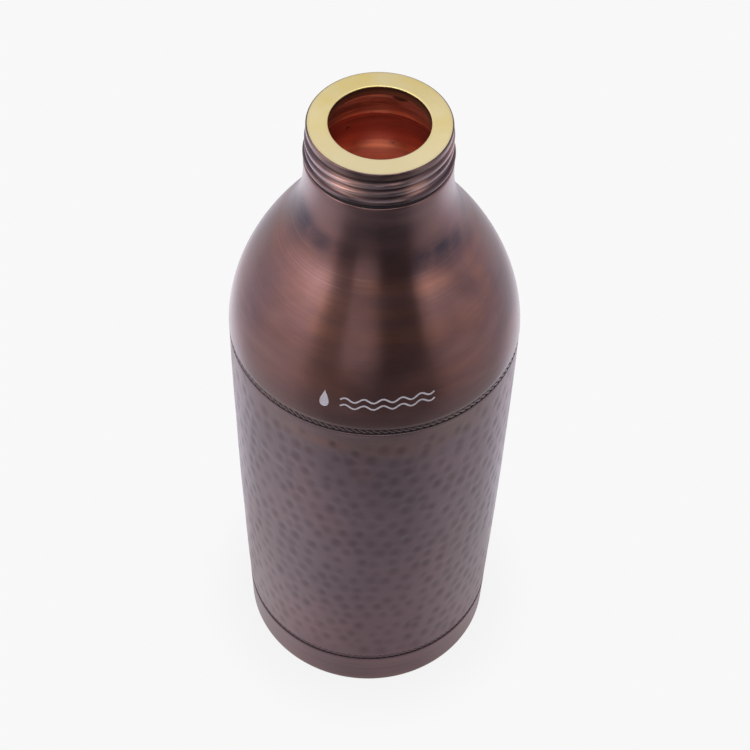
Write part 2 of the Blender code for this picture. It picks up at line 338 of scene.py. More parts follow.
# ------------------------------------------------------------ materials
def satin_copper():
    """Spun shoulder: antiqued copper under a thin lacquer. Rubbed warm belts and dark bluish
    patches run round it, over fine spinning marks."""
    mat, net = new_material("antique_copper_satin")
    z = net.xyz()[2]
    cloud = net.noise(scale=(27, 27, 44), warp=0.5)
    drawn = net.noise(scale=(30, 30, 260), warp=0.3)                # short smears
    hair = net.noise(scale=(60, 60, 2600), detail=3, rough=0.6)     # spinning marks
    grain = net.noise(scale=(420, 420, 900), detail=3, rough=0.6)
    col = net.tint((0.122, 0.064, 0.064), (0.180, 0.094, 0.092),
                   amount=net.span(cloud, over=(0.32, 0.68)))
    col = net.tint(col, (0.085, 0.043, 0.040),
                   amount=net.span(drawn, over=(0.40, 0.66), to=(0.0, 0.18)))
    # warm rubbed patches, broken up by long smears, and loose warm spots above the foot
    smear = net.noise(scale=(34, 34, 190), rough=0.6, warp=0.3, shift=(0.35, 0.1, 0.62))
    warm = net.times(net.attr("warm"), net.span(smear, over=(0.32, 0.66), to=(0.25, 1.0)))
    spots = net.noise(scale=(38, 38, 95), detail=3, rough=0.5, warp=0.3, shift=(2.3, 1.9, 0.4))
    spots = net.span(spots, over=(0.54, 0.72), to=(0.0, 0.30))
    warm = net.math("MAXIMUM", warm,
                    net.times(spots, net.span(z, over=(152, 162), unit=MM)))
    col = net.tint(col, (0.27, 0.115, 0.075), amount=net.scaled(warm, by=0.75, clamp=True))
    # pinker throat
    col = net.tint(col, (0.175, 0.100, 0.104),
                   amount=net.span(z, over=(196, 204), to=(0.0, 0.55), unit=MM))
    # dark bluish patches where the dome turns into the throat
    blot = net.noise(scale=(48, 48, 120), rough=0.6, warp=0.6, shift=(0.9, 2.7, 0.0))
    smudge = net.times(net.attr("smudge"), net.span(blot, over=(0.30, 0.62), to=(0.55, 1.0)))
    col = net.tint(col, (0.030, 0.026, 0.040), amount=net.scaled(smudge, by=0.95, clamp=True))
    # darker foot next to the milled line
    col = net.tint(col, (0.080, 0.052, 0.056),
                   amount=net.span(z, over=(147.5, 158), to=(0.60, 0.0), unit=MM))
    col = net.tint(col, (0.060, 0.034, 0.034),
                   amount=net.span(hair, over=(0.35, 0.75), to=(0.0, 0.16)))
    # milled line, with painted shade along its top edge
    groove = net.attr("groove")
    col = net.tint(col, (0.16, 0.125, 0.135), amount=net.scaled(net.attr("proud"), by=0.35))
    col = net.tint(col, (0.012, 0.010, 0.013), amount=groove)
    # fine bright scratches, most of them round the foot of the throat
    fine = net.noise(scale=(11, 11, 2300), detail=2, rough=0.5, shift=(3.0, 1.0, 2.0))
    where = net.noise(scale=(30, 30, 60), detail=2, rough=0.5, shift=(7.0, 3.0, 1.0))
    fine_everywhere = 0.15
    belt = net.scaled(net.belt(z, centre=196, width=12), by=0.85)
    fine = net.times(net.span(fine, over=(0.62, 0.70), to=(0.0, 0.24)),
                     net.add(belt, fine_everywhere), net.span(where, over=(0.42, 0.60)))
    col = net.tint(col, (0.46, 0.31, 0.29), amount=fine)
    # specks of dust sealed under the lacquer, in a few cells only
    cells = net.node("TexVoronoi")
    cells.inputs["Scale"].default_value = 1.0
    net.put(cells.inputs["Vector"], net.mapping(scale=(95, 95, 95)))
    speck = net.span(cells.outputs["Distance"], over=(0.018, 0.034), to=(0.9, 0.0))
    chance = net.node("SeparateColor")
    net.put(chance.inputs[0], cells.outputs["Color"])
    speck = net.times(speck, net.span(chance.outputs[0], over=(0.93, 0.95)))
    col = net.tint(col, (0.85, 0.60, 0.50), amount=speck)
    relief = net.add(net.scaled(hair, by=0.6), net.scaled(grain, by=0.4))
    net.spun(anisotropic=0.6)
    net.surface(base_color=col, metallic=1.0, coat_weight=0.10, coat_roughness=0.25,
                roughness=net.add(net.span(cloud, over=(0.2, 0.8), to=(0.215, 0.275)),
                                  net.scaled(smudge, by=0.05), net.scaled(groove, by=0.25)),
                normal=net.bump(relief, depth=0.00005, strength=0.22))
    return mat


def hammered_copper():
    """Beaten body: purple-brown patina, darkest in the hammer marks, paler between them."""
    mat, net = new_material("antique_copper_hammered")
    z = net.xyz()[2]
    cloud = net.noise(scale=(24, 24, 20), detail=3, rough=0.5, warp=0.4)
    hue = net.noise(scale=(38, 38, 30), detail=3, warp=0.3, shift=(1.3, 0.2, 4.1))
    grain = net.noise(scale=(520, 520, 520), rough=0.65)
    mottle = net.noise(scale=(190, 190, 170), detail=3, warp=0.4)
    col = net.tint((0.107, 0.074, 0.094), (0.144, 0.097, 0.117),
                   amount=net.span(cloud, over=(0.32, 0.68)))
    # redder clouds
    col = net.tint(col, (0.160, 0.093, 0.098),
                   amount=net.span(hue, over=(0.50, 0.72), to=(0.0, 0.38)))
    # browner top edge
    col = net.tint(col, (0.140, 0.090, 0.086),
                   amount=net.times(net.span(z, over=(128, 141), to=(0.0, 0.75), unit=MM),
                                    net.span(hue, over=(0.34, 0.60), to=(0.25, 1.0))))
    # pinker towards the base
    col = net.tint(col, (0.150, 0.087, 0.099),
                   amount=net.span(z, over=(14, 80), to=(0.80, 0.0), unit=MM))
    # rubbed redder in patches
    col = net.tint(col, (0.190, 0.088, 0.078),
                   amount=net.times(net.attr("blush"),
                                    net.span(mottle, over=(0.3, 0.7), to=(0.45, 0.75))))
    col = net.tint(col, (0.075, 0.050, 0.062),
                   amount=net.span(mottle, over=(0.35, 0.75), to=(0.0, 0.16)))
    # hammer marks, milled line and scratch
    dent = net.attr("dent")
    col = net.tint(col, (0.046, 0.028, 0.037), amount=net.scaled(dent, by=0.55, clamp=True))
    groove = net.attr("groove")
    col = net.tint(col, (0.028, 0.020, 0.025), amount=groove)
    col = net.tint(col, (0.28, 0.23, 0.25),
                   amount=net.times(net.attr("scratch"),
                                    net.span(mottle, over=(0.3, 0.7), to=(0.12, 0.34))))
    relief = net.add(net.scaled(grain, by=0.35), net.scaled(mottle, by=0.65))
    net.surface(base_color=col, metallic=1.0, coat_weight=0.12, coat_roughness=0.3,
                roughness=net.add(net.span(cloud, over=(0.2, 0.8), to=(0.37, 0.43)),
                                  net.scaled(dent, by=0.06), net.scaled(groove, by=0.2)),
                normal=net.bump(relief, depth=0.00012, strength=0.30))
    return mat


def band_copper():
    """Smooth pressed band of the base: pinker brown, faint marks running round, rubbed heel."""
    mat, net = new_material("antique_copper_band")
    z = net.xyz()[2]
    cloud = net.noise(scale=(26, 26, 60), detail=3, rough=0.5, warp=0.4)
    drawn = net.noise(scale=(16, 16, 520), rough=0.6, warp=0.1)
    grain = net.noise(scale=(480, 480, 900), detail=3, rough=0.6)
    col = net.tint((0.142, 0.087, 0.098), (0.186, 0.112, 0.122),
                   amount=net.span(cloud, over=(0.32, 0.68)))
    col = net.tint(col, (0.085, 0.052, 0.055),
                   amount=net.span(drawn, over=(0.45, 0.70), to=(0.0, 0.30)))
    # dark round the foot
    col = net.tint(col, (0.060, 0.040, 0.046),
                   amount=net.span(z, over=(0.4, 3.2), to=(0.75, 0.0), unit=MM))
    # rubbed heel
    col = net.tint(col, (0.30, 0.16, 0.12),
                   amount=net.times(net.belt(z, centre=3.8, width=1.6),
                                    net.span(grain, over=(0.3, 0.7), to=(0.05, 0.35))))
    col = net.tint(col, (0.030, 0.021, 0.027), amount=net.attr("groove"))
    relief = net.add(net.scaled(drawn, by=0.5), net.scaled(grain, by=0.5))
    net.spun(anisotropic=0.4)
    net.surface(base_color=col, metallic=1.0, coat_weight=0.12, coat_roughness=0.28,
                roughness=net.span(cloud, over=(0.2, 0.8), to=(0.34, 0.41)),
                normal=net.bump(relief, depth=0.00006, strength=0.3))
    return mat


def thread_brass():
    """Antiqued outside of the neck ring: near-black grooves, mauve flanks, paler worn crests,
    with painted shade across the front and painted highlights to either side of it.
    """
    mat, net = new_material("antique_brass_thread")
    cloud = net.noise(scale=(60, 60, 60), detail=3, rough=0.5, warp=0.4)
    drawn = net.noise(scale=(30, 30, 1400), rough=0.6, warp=0.1)
    grain = net.noise(scale=(700, 700, 1500), detail=3, rough=0.6)
    col = net.tint((0.090, 0.055, 0.058), (0.145, 0.086, 0.086),
                   amount=net.span(cloud, over=(0.35, 0.65)))
    col = net.tint(col, (0.055, 0.038, 0.043),
                   amount=net.span(drawn, over=(0.42, 0.66), to=(0.0, 0.40)))
    # tarnish, with painted shade across the front of the thread
    col = net.tint(col, (0.038, 0.029, 0.036), amount=net.scaled(net.attr("tarnish"), by=0.85))
    # coppery rubs, with painted highlights in the two strong patches to the front left and front
    # right
    rub = net.noise(scale=(85, 85, 300), detail=3, shift=(4.0, 1.0, 0.0))
    rub = net.math("MAXIMUM", net.span(rub, over=(0.50, 0.68), to=(0.0, 0.12)),
                   net.times(net.attr("rub"),
                             net.span(drawn, over=(0.30, 0.60), to=(1.0, 0.35))))
    col = net.tint(col, (0.74, 0.40, 0.32), amount=rub)
    # crests, worn where they are not tarnished and not under the painted shade at the front
    worn = net.times(net.attr("proud"), net.span(cloud, over=(0.3, 0.7), to=(0.40, 0.75)),
                     net.span(net.attr("tarnish"), over=(0.0, 0.8), to=(1.0, 0.12)))
    col = net.tint(col, (0.36, 0.30, 0.34), amount=worn)
    col = net.tint(col, (0.022, 0.018, 0.024), amount=net.attr("groove"))
    relief = net.add(net.scaled(drawn, by=0.5), net.scaled(grain, by=0.5))
    net.spun(anisotropic=0.3)
    net.surface(base_color=col, metallic=1.0, coat_weight=0.15, coat_roughness=0.2,
                roughness=net.add(net.span(cloud, over=(0.2, 0.8), to=(0.20, 0.28)),
                                  net.scaled(net.attr("groove"), by=0.2)),
                normal=net.bump(relief, depth=0.00005, strength=0.35))
    return mat


# Colour of the bare inside up the bottle, with painted highlight bands near 197 mm and at the
# ledge near 214 mm and painted darker bands beside them: share of the way from 180 mm to 228 mm,
# colour.
INSIDE_COLOURS = (
    (0.00, (0.90, 0.27, 0.125)), (0.20, (0.86, 0.24, 0.11)), (0.28, (0.62, 0.14, 0.065)),
    (0.345, (0.98, 0.36, 0.17)), (0.42, (0.64, 0.150, 0.088)), (0.52, (0.50, 0.118, 0.082)),
    (0.68, (0.56, 0.155, 0.115)), (0.715, (0.88, 0.32, 0.16)), (0.75, (0.58, 0.19, 0.115)),
    (0.85, (0.74, 0.33, 0.225)), (0.93, (0.58, 0.27, 0.185)))


def bare_copper():
    """Unlacquered red copper of the inside, with faint turning rings and water marks, and painted
    light and dark bands up the wall.
    """
    mat, net = new_material("bare_copper_inside")
    z = net.xyz()[2]
    cloud = net.noise(scale=(60, 60, 75), rough=0.6, warp=0.5)
    ring = net.noise(scale=(14, 14, 520), rough=0.6, warp=0.1)
    col = net.ramp(net.relative(z, origin=180, size=48), INSIDE_COLOURS)
    col = net.tint(col, (0.34, 0.060, 0.035),
                   amount=net.span(cloud, over=(0.38, 0.66), to=(0.40, 0.0)))
    col = net.tint(col, (0.30, 0.060, 0.035),
                   amount=net.span(ring, over=(0.48, 0.72), to=(0.0, 0.35)))
    # brown streaks, strongest in the neck
    streak = net.noise(scale=(40, 40, 330), rough=0.6, warp=0.4, shift=(5.0, 1.0, 0.3))
    streak = net.span(streak, over=(0.46, 0.66), to=(0.0, 0.70))
    col = net.tint(col, (0.120, 0.040, 0.026),
                   amount=net.times(streak,
                                    net.span(z, over=(205, 214), to=(0.25, 1.0), unit=MM)))
    # small stains, and a dried drip mark with a ragged edge high on the back of the neck
    stain = net.noise(scale=(150, 150, 210), detail=3, rough=0.6, shift=(1.0, 7.0, 2.0))
    stain = net.span(stain, over=(0.66, 0.74), to=(0.0, 0.8))
    x, y, _ = net.xyz()
    across = net.relative(x, origin=5.6, size=1.9)
    up = net.relative(z, origin=221.2, size=1.1)
    mean_noise = 0.5
    ragged = net.scaled(net.math("SUBTRACT", cloud, mean_noise), by=3.0)
    away = net.add(net.times(across, across), net.times(up, up), ragged)
    drip = net.times(net.span(away, over=(0.5, 1.9), to=(1.0, 0.0)),
                     net.span(y, over=(0.0, 5.0), unit=MM))
    col = net.tint(col, (0.030, 0.014, 0.010), amount=net.math("MAXIMUM", stain, drip))
    net.surface(base_color=col, metallic=0.55,
                roughness=net.span(cloud, over=(0.2, 0.8), to=(0.28, 0.40)),
                normal=net.bump(ring, depth=0.00015, strength=0.5))
    return mat


def bare_brass():
    """Turned sealing face: pale satin brass with fine concentric tool marks."""
    mat, net = new_material("bare_brass_face")
    x, y, _ = net.xyz()
    squares = net.add(net.math("POWER", x, 2.0), net.math("POWER", y, 2.0))
    radius = net.math("POWER", squares, 0.5)
    outward = net.node("CombineXYZ")
    net.put(outward.inputs[0], radius)
    rings = net.noise_on(outward.outputs[0], scale=5200.0, detail=3, rough=0.7)
    cloud = net.noise(scale=(120, 120, 120), detail=3, rough=0.5, warp=0.3)
    col = net.tint((0.68, 0.56, 0.21), (0.68, 0.59, 0.31),
                   amount=net.span(cloud, over=(0.3, 0.7)))
    col = net.tint(col, (0.42, 0.34, 0.12),
                   amount=net.span(rings, over=(0.35, 0.7), to=(0.0, 0.12)))
    # paler towards the front as painted light, duller at the outer edge
    col = net.tint(col, (0.72, 0.64, 0.38),
                   amount=net.span(y, over=(-17, 10), to=(0.75, 0.0), unit=MM))
    col = net.tint(col, (0.50, 0.43, 0.24),
                   amount=net.span(radius, over=(19, 20.2), to=(0.0, 0.55), unit=MM))
    tangent = net.node("Tangent", direction_type="RADIAL", axis="Z")
    net.surface(base_color=col, metallic=1.0, anisotropic=0.4, tangent=tangent.outputs[0],
                roughness=net.span(cloud, over=(0.2, 0.8), to=(0.34, 0.44)),
                normal=net.bump(rings, depth=0.00004, strength=0.35))
    return mat


def dark_filler():
    """Blackened filler of the seam lines."""
    mat, net = new_material("blackened_filler")
    grain = net.noise(scale=(900, 900, 900), rough=0.6)
    net.surface(base_color=net.tint((0.012, 0.010, 0.013), (0.044, 0.036, 0.043), amount=grain),
                metallic=0.8, roughness=0.55,
                normal=net.bump(grain, depth=0.00008, strength=0.5))
    return mat


def print_ink():
    """Silver-grey ink of the printed mark."""
    mat, net = new_material("silver_print")
    grain = net.noise(scale=(1500, 1500, 1500), detail=3, rough=0.6)
    net.surface(base_color=net.tint((0.36, 0.345, 0.39), (0.46, 0.445, 0.50),
                                    amount=net.span(grain, over=(0.3, 0.7))),
                metallic=0.0, roughness=0.45,
                normal=net.bump(grain, depth=0.00003, strength=0.4))
    return mat


def lip_metal():
    """Turned inside of the lip: tarnished brass, darker towards the top."""
    mat, net = new_material("tarnished_lip")
    drawn = net.noise(scale=(70, 70, 900), rough=0.6)
    z = net.xyz()[2]
    col = net.tint((0.13, 0.046, 0.026), (0.21, 0.080, 0.040),
                   amount=net.span(drawn, over=(0.3, 0.7)))
    col = net.tint(col, (0.035, 0.018, 0.012),
                   amount=net.span(z, over=(HEIGHT - 2.2 * MM, HEIGHT - 0.7 * MM),
                                   to=(0.0, 0.85)))
    net.surface(base_color=col, metallic=0.6, roughness=0.40,
                normal=net.bump(drawn, depth=0.00006, strength=0.4))
    return mat


SATIN = satin_copper()
HAMMERED = hammered_copper()
BAND = band_copper()
THREAD = thread_brass()
INSIDE = bare_copper()
BRASS = bare_brass()
FILLER = dark_filler()
INK = print_ink()
LIP = lip_metal()


# ------------------------------------------------------------ patches and milled lines
def patches(theta, z, table):
    """Soft-edged patches on one row, as a value for each point round it. Table columns: degrees
    from the front (plus is right), height in mm, half width in degrees, half height in mm,
    strength."""
    spread = 1.3                         # how far the soft edge reaches past the half size
    front = wrap(np.degrees(theta) + 90.0)
    out = np.zeros_like(theta)
    for angle, height, wide, tall, strength in table:
        across = wrap(front - angle) / (spread * wide)
        up = (z / MM - height) / (spread * tall)
        out = np.maximum(out, strength * np.exp(-(across ** 2) ** 1.3 - (up ** 2) ** 1.2))
    return out


def rope(lathe, centre, half, strands, radius_of, depth, dark, rows):
    """A milled cord pattern, flush with the sheet: slanted S-shaped strands with dark gaps."""
    for i in range(rows):
        t = -1.0 + 2.0 * i / (rows - 1)  # -1 at the bottom edge, 1 at the top
        z = centre + half * t
        phase = strands * lathe.theta / TAU + 0.34 * math.sin(t * math.pi / 2) + 0.10 * t
        strand = np.abs(np.cos(math.pi * phase))
        gap = np.exp(-(strand / (0.42 + 0.22 * abs(t))) ** 2)
        crown = math.sqrt(max(0.0, 1.0 - t * t))
        sunk = 0.04 * MM + 0.10 * MM * (1.0 - crown) + depth * gap * (0.75 + 0.25 * abs(t))
        edge = smooth01((abs(t) - 0.82) / 0.18) * 0.55
        lathe.add_row(radius_of(z) - sunk, z,
                      groove=np.clip(dark * np.maximum(gap, edge), 0, 1),
                      proud=np.clip((1.0 - gap) * crown * 0.8, 0, 1))


# ------------------------------------------------------------ shoulder
# Where the dome meets the throat; there the radius shrinks by STEEP_SLOPE for each unit of rise.
STEEP_R, STEEP_Z, STEEP_SLOPE = 27.9 * MM, Z_SEAM + 42.9 * MM, 0.71
COLLAR_R, COLLAR_Z = 21.05 * MM, Z_LEDGE - 0.7 * MM     # top of the throat
COLLAR_ROUND = 0.5 * MM
SPIGOT_R = 18.45 * MM
SHOULDER_ROPE_Z, SHOULDER_ROPE_HALF = Z_SEAM + 0.95 * MM, 0.80 * MM

# Darker and warmer places on the shoulder, with the columns of patches().
SMUDGES = (
    (-66, 199.2, 12, 3.4, 1.00), (-45, 198.2, 11, 2.6, 0.90), (-24, 199.0, 9, 2.0, 0.50),
    (3, 207.5, 24, 4.0, 0.66), (3, 212.8, 28, 1.5, 0.60), (14, 198.2, 11, 1.7, 0.50),
    (34, 195.2, 10, 2.8, 0.95), (48, 194.9, 11, 3.4, 1.00), (62, 193.6, 9, 2.8, 0.80),
    (76, 191.4, 8, 2.4, 0.45), (108, 197, 16, 3.4, 0.70), (-71, 180, 7, 3.6, 0.26),
    (150, 200, 24, 4.5, 0.75), (-165, 197, 20, 4.0, 0.60), (-120, 200, 16, 4.5, 0.70),
    (-88, 197, 12, 3.5, 0.50), (-66, 176, 10, 9.0, 0.30), (84, 168, 14, 8.0, 0.20),
    (140, 172, 22, 8.0, 0.25), (-130, 170, 20, 9.0, 0.30))
WARM_PATCHES = (
    (0, 190.0, 20, 1.5, 0.90), (17, 176.5, 15, 2.8, 0.90), (-23, 178, 7, 11.0, 0.75),
    (-20, 165, 9, 5.0, 0.65), (10, 183.5, 12, 1.2, 0.50), (34, 188.5, 12, 2.4, 0.65),
    (-47, 183.0, 14, 6.0, 0.28), (-52, 192.6, 9, 2.6, 0.45), (-31, 198.6, 7, 3.6, 0.35),
    (-62, 189, 10, 2.4, 0.40), (66, 183, 5, 8.0, 0.60), (50, 176, 10, 3.6, 0.40),
    (-42, 171, 12, 3.0, 0.35), (-80, 187, 14, 7.0, 0.58), (30, 163, 14, 3.5, 0.40),
    (95, 186, 24, 3.0, 0.70), (118, 171, 20, 4.0, 0.60), (158, 188, 26, 2.5, 0.70),
    (-158, 176, 24, 4.0, 0.65), (-118, 187, 22, 3.0, 0.60), (-100, 168, 18, 4.0, 0.45),
    (178, 163, 22, 4.0, 0.45))


def shoulder_curve():
    """Outline of the dome and the throat, from the seam up to the collar."""
    steep = np.array([STEEP_R, STEEP_Z])
    lean = np.array([-STEEP_SLOPE, 1.0])
    lean /= np.hypot(*lean)
    dome = bezier((SEAM_R, Z_SEAM), (SEAM_R, Z_SEAM + 19.2 * MM),
                  steep - lean * 8.2 * MM, steep, 37)
    throat = bezier(steep, steep + lean * 12.7 * MM,
                    (COLLAR_R, COLLAR_Z - 6.0 * MM), (COLLAR_R, COLLAR_Z), 17)
    return np.vstack([dome, throat[1:]])


def shoulder(curve):
    def radius_of(z):
        return float(np.interp(z, curve[:, 1], curve[:, 0]))

    lathe = Lathe("shoulder_dome_spun", segments=1060)
    lathe.add([(SEAM_R - 0.45 * MM, Z_SEAM), (SEAM_R - 0.12 * MM, Z_SEAM + 0.03 * MM)],
              groove=0.95)
    rope(lathe, centre=SHOULDER_ROPE_Z, half=SHOULDER_ROPE_HALF, strands=135,
         radius_of=radius_of, depth=0.26 * MM, dark=0.95, rows=13)
    top = SHOULDER_ROPE_Z + SHOULDER_ROPE_HALF
    # painted shade: the two rows along the top edge of the milled line take the groove colour
    lathe.add_row(radius_of(top + 0.05 * MM) - 0.08 * MM, top + 0.07 * MM, groove=0.5)
    lathe.add_row(radius_of(top + 0.2 * MM), top + 0.2 * MM, groove=0.38)
    for radius, z in curve[curve[:, 1] > top + 0.45 * MM]:
        lathe.add_row(radius, z, smudge=patches(lathe.theta, z, SMUDGES),
                      warm=patches(lathe.theta, z, WARM_PATCHES))
    # collar, ledge and spigot
    lathe.add(arc(COLLAR_R - COLLAR_ROUND, Z_LEDGE - COLLAR_ROUND, COLLAR_ROUND, 15, 90, 5))
    lathe.add([(SPIGOT_R, Z_LEDGE), (SPIGOT_R, SPIGOT_TOP - 0.15 * MM),
               (SPIGOT_R - 0.15 * MM, SPIGOT_TOP)])
    # inside, going down
    under = Z_LEDGE - WALL
    lathe.add([(BORE_R, SPIGOT_TOP), (BORE_R, under + 0.3 * MM), (BORE_R + 0.2 * MM, under),
               (COLLAR_R - WALL - 0.5 * MM, under),
               (COLLAR_R - WALL - 0.15 * MM, under - 0.15 * MM)], mat=1)
    inner = offset(curve, WALL)[::-1]
    inner = inner[inner[:, 1] < under - 0.5 * MM]
    lathe.add(inner[::5], mat=1)
    lathe.add_row(SEAM_R - WALL, Z_SEAM, mat=1)
    mount(lathe.build(), (SATIN, INSIDE), "satin_copper", "shoulder_dome")


# ------------------------------------------------------------ hammered body
BODY_SWELL = 0.5 * MM                    # outward swell halfway up
BODY_LEDGE = Z_SEAM - 1.2 * MM
SLEEVE_R = 42.7 * MM                     # part that reaches up inside the shoulder
BODY_ROPE_Z, BODY_ROPE_HALF = Z_LOW + 0.85 * MM, 0.70 * MM
MARK_PITCH, MARK_COLUMNS = 5.45 * MM, 49
MARK_TALL = 1.36                         # hammer marks are a little taller than wide
MARK_REACH = 1.35                        # how far a mark is worked out, in its own sizes
SCRATCH_ANGLE, SCRATCH_Z = 229.0, 116.8 * MM

# Stray marks above the first full row: degrees from the front, height in mm, size in mm,
# depth, darkness.
FIRST_MARKS = (
    (-27, 140.2, 1.5, 0.6, 0.75), (-14.6, 138.8, 1.8, 0.8, 1.25), (-5.6, 135.6, 1.9, 0.8, 1.10),
    (-0.7, 139.6, 1.6, 0.35, 0.55), (23.5, 140.4, 1.6, 0.5, 0.75), (96, 139.4, 1.8, 0.7, 0.9),
    (-139, 139.0, 1.8, 0.6, 0.9))
# Where the patina is rubbed redder, with the columns of patches().
BLUSH = (
    (-17, 138.3, 8, 1.6, 0.95), (9, 137.8, 9, 2.6, 0.60), (-31, 139, 6, 2.4, 0.45),
    (70, 134, 10, 4.0, 0.4), (128, 138, 12, 3.0, 0.5), (-100, 136, 12, 4.0, 0.4),
    (-150, 120, 14, 8.0, 0.3), (-60, 60, 12, 12.0, 0.35), (-25, 30, 16, 8.0, 0.40),
    (40, 70, 10, 14.0, 0.25))


def body_radius(z):
    t = (z - Z_LOW) / (BODY_LEDGE - Z_LOW)
    return BODY_LOW_R + (BODY_TOP_R - BODY_LOW_R) * t + BODY_SWELL * 4 * t * (1 - t)


def hammer_marks(rng, low, high):
    """Marks on a loosely staggered grid, as (angle, height, size, depth, darkness)."""
    marks = [(math.radians(angle - 90.0) % TAU, z * MM, size * MM, deep, dark)
             for angle, z, size, deep, dark in FIRST_MARKS]
    strays = [mark[:2] for mark in marks]
    for i in range(int((high - low) / MARK_PITCH) + 1):
        drift = rng.uniform(-0.25, 0.25)
        for j in range(MARK_COLUMNS):
            turn = (j + 0.5 * (i % 2) + drift + rng.normal(0, 0.14)) / MARK_COLUMNS
            z = high - i * MARK_PITCH + rng.normal(0, 0.70) * MM
            size = rng.uniform(1.95, 2.50) * MM
            deep = rng.uniform(0.55, 1.0)
            if rng.random() < 0.04:
                deep *= 0.3
            if i == 0 and rng.random() < 0.45:
                deep *= 0.25
            # keep clear of the stray marks, and of the top row at the front
            nearest = min(math.hypot(wrap(turn * TAU - angle, TAU) * BODY_TOP_R, z - stray_z)
                          for angle, stray_z in strays)
            from_front = abs(wrap(turn * 360.0 + 90.0))
            if nearest < 3.9 * MM or (i == 0 and from_front < 34.0):
                continue
            if low + 1.2 * MM < z < high:
                marks.append((turn % 1.0 * TAU, z, size, deep, rng.uniform(0.45, 1.0)))
    return marks


def hammered(theta, heights, plain, marks):
    """Change of radius and darkness from all the marks, row by row."""
    relief, dent = np.zeros_like(plain), np.zeros_like(plain)
    for angle, z, size, deep, dark in marks:
        reach = size * MARK_REACH
        rows = np.nonzero(np.abs(heights - z) < reach * MARK_TALL)[0]
        if not len(rows):
            continue
        turn = wrap(theta - angle, TAU)
        columns = np.nonzero(np.abs(turn) * BODY_LOW_R < reach)[0]
        window = np.ix_(rows, columns)
        across = turn[columns][None, :] * plain[window]
        up = (heights[rows] - z)[:, None] / MARK_TALL
        away = np.sqrt(across * across + up ** 2) / size
        bowl = np.clip(1.0 - away * away, 0.0, 1.0) ** 1.5
        rim = np.exp(-((away - 1.08) / 0.22) ** 2)
        relief[window] += (-0.135 * bowl + 0.010 * rim) * deep * MM
        shade = np.exp(-(away / 0.68) ** 2.0) * (0.35 + 0.65 * deep) * dark
        dent[window] = np.maximum(dent[window], shade)
    return relief, dent


def long_scratch(theta, heights):
    """One long faint bowed scratch across the left of the front."""
    right = (np.degrees(theta) - SCRATCH_ANGLE)[None, :] * math.radians(1) * BODY_TOP_R
    up = heights[:, None] - SCRATCH_Z
    along, across = right * 0.965 - up * 0.26, right * 0.26 + up * 0.965
    bow = across + 0.8 * MM * np.cos(along / (6.0 * MM)) - 0.4 * MM
    ends = smooth01((10.5 * MM - np.abs(along)) / (6.0 * MM))
    return np.exp(-(bow / (0.50 * MM)) ** 2) * ends


def low_waves(rng, theta, heights):
    """Slight unevenness of the beaten sheet, fading out at both edges."""
    wave = np.zeros((len(heights), len(theta)))
    for _ in range(14):
        around, up, phase = rng.integers(2, 12), rng.uniform(20, 160), rng.uniform(0, TAU)
        wave += 0.012 * MM * np.sin(around * theta[None, :] + up * heights[:, None] + phase)
    fade = (smooth01((heights - heights[0]) / (1.5 * MM))
            * smooth01((heights[-1] - heights) / (1.5 * MM)))
    return wave * fade[:, None]


def body():
    rng = np.random.default_rng(71)
    low, top = Z_LOW, BODY_TOP_Z
    lathe = Lathe("hammered_body_tube", segments=480)
    lathe.add([(body_radius(low) - 0.6 * MM, low),
               (body_radius(low) - 0.15 * MM, low + 0.02 * MM)], groove=0.9)
    rope(lathe, centre=BODY_ROPE_Z, half=BODY_ROPE_HALF, strands=125,
         radius_of=body_radius, depth=0.20 * MM, dark=0.70, rows=9)
    heights = np.linspace(BODY_ROPE_Z + BODY_ROPE_HALF + 0.25 * MM, top - 0.30 * MM, 176)
    plain = np.repeat(body_radius(heights)[:, None], lathe.n, axis=1)
    marks = hammer_marks(rng, heights[0] + 1.5 * MM, heights[-1] - 1.6 * MM)
    relief, dent = hammered(lathe.theta, heights, plain, marks)
    scratch = long_scratch(lathe.theta, heights)
    relief += low_waves(rng, lathe.theta, heights)
    radii = np.minimum(plain + relief, plain + 0.03 * MM)
    for i, z in enumerate(heights):
        lathe.add_row(radii[i], z, dent=dent[i], scratch=scratch[i],
                      blush=patches(lathe.theta, z, BLUSH))
    lathe.add([(body_radius(top) - 0.03 * MM, top - 0.12 * MM),
               (body_radius(top) - 0.20 * MM, top)])
    # sleeve inside the shoulder, then the inside, going down
    lathe.add([(SLEEVE_R, top), (SLEEVE_R, Z_SEAM + 3.0 * MM),
               (SLEEVE_R - 0.35 * MM, Z_SEAM + 4.0 * MM)])
    inner_r = SLEEVE_R - WALL
    lathe.add([(inner_r - 0.35 * MM, Z_SEAM + 4.0 * MM), (inner_r, Z_SEAM + 3.0 * MM),
               (inner_r, BODY_LEDGE - 0.6 * MM)], mat=1)
    lathe.add([(body_radius(z) - WALL, z)
               for z in np.linspace(BODY_LEDGE - 1.8 * MM, low + 0.2 * MM, 8)], mat=1)
    mount(lathe.build(), (HAMMERED, INSIDE), "hammered_copper", "hammered_body")


# ------------------------------------------------------------ seams
def line_ring(name, low, high, inner, outer, replaced):
    """A thin dark ring with a rounded, slightly rippled outer edge."""
    lathe = Lathe(name, segments=360)
    ripple = 0.02 * MM * (np.sin(61 * lathe.theta + 1.0) + np.sin(97 * lathe.theta + 2.0))
    round_r = 0.12 * MM
    lathe.add_row(inner, low)
    lathe.add_row(outer - 0.10 * MM + ripple, low)
    for radius, z in arc(outer - round_r, 0.5 * (low + high), round_r, -70, 70, 5):
        lathe.add_row(radius + ripple, z)
    lathe.add_row(outer - 0.10 * MM + ripple, high)
    lathe.add_row(inner, high)
    mount(lathe.build(), (FILLER,), "dark_filler", replaced)


